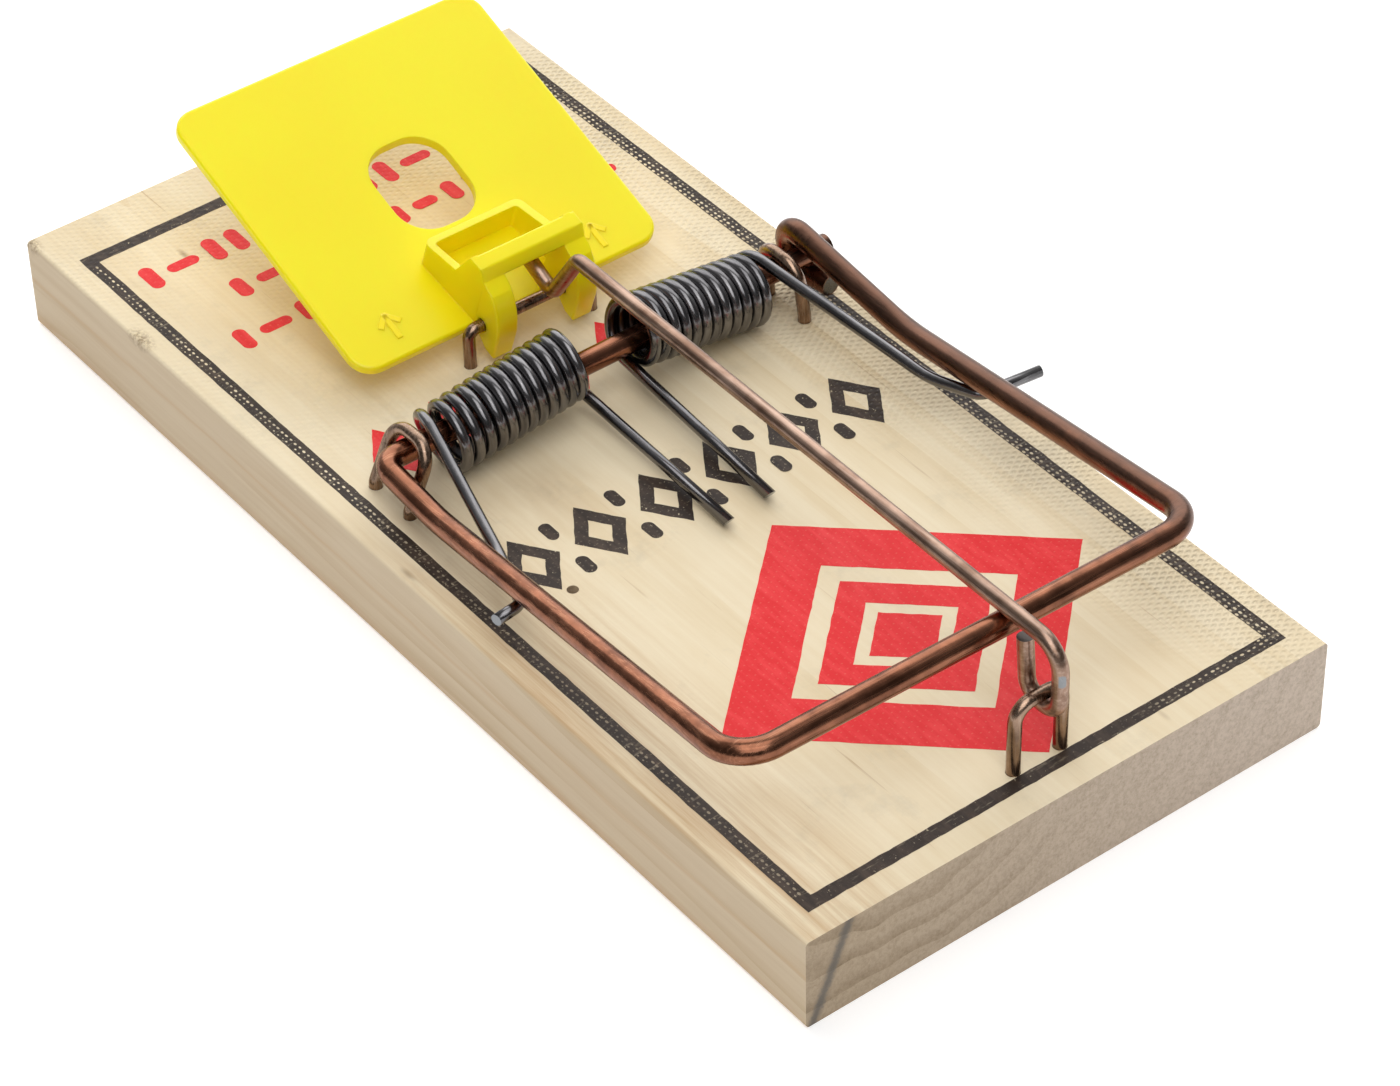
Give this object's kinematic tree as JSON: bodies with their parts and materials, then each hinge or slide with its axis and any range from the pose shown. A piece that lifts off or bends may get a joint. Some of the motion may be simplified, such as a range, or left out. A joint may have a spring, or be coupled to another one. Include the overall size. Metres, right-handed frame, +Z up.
{
  "type": "snap mouse trap",
  "caption": "Wooden snap mouse trap, set: a sprung wire hammer held by a hold-down bar whose crook sits under the lip of a tilting plastic trigger plate.",
  "frame": {"origin": "centre of the wooden base's underside", "axes": "+X along the base's length towards the hold-down staple, +Y across the base to the side with the hammer's hook, +Z up from the underside"},
  "size_m": [0.0984, 0.0484, 0.0204],
  "materials": {
    "pine": "bare softwood with a printed top",
    "hammer_steel": "thin copper wash over steel wire, dark reddish brown",
    "bar_steel": "thin copper wash over steel wire, light pinkish brown",
    "staple_steel": "pale bronze-coloured steel wire",
    "spring_steel": "dark oiled spring wire",
    "yellow_plastic": "glossy moulded plastic"
  },
  "bodies": {
    "base": {"base_board": "pine", "spring_left": "spring_steel", "spring_right": "spring_steel", "axle_staple_left": "staple_steel", "axle_staple_right": "staple_steel", "hold_down_staple": "staple_steel", "trigger_pivot_wire": "staple_steel"},
    "hammer_body": {"hammer": "hammer_steel"},
    "bar_body": {"hold_down_bar": "bar_steel"},
    "trigger_body": {"trigger_plate": "yellow_plastic"}
  },
  "joints": [
    {"name": "hammer_swing", "type": "hinge", "parent": "base", "child": "hammer_body", "pos_m": [-0.0055, 0, 0.01165], "axis": [0, -1, 0], "range_deg": [0, 176], "deforming": ["spring_left", "spring_right"]},
    {"name": "hold_bar_swing", "type": "hinge", "parent": "base", "child": "bar_body", "pos_m": [0.0453, 0, 0.01405], "axis": [0, 1, 0], "range_deg": [0, 180]},
    {"name": "trigger_tilt", "type": "hinge", "parent": "base", "child": "trigger_body", "pos_m": [-0.0144, 0, 0.0114], "axis": [0, -1, 0], "range_deg": [0, 23]}
  ]
}
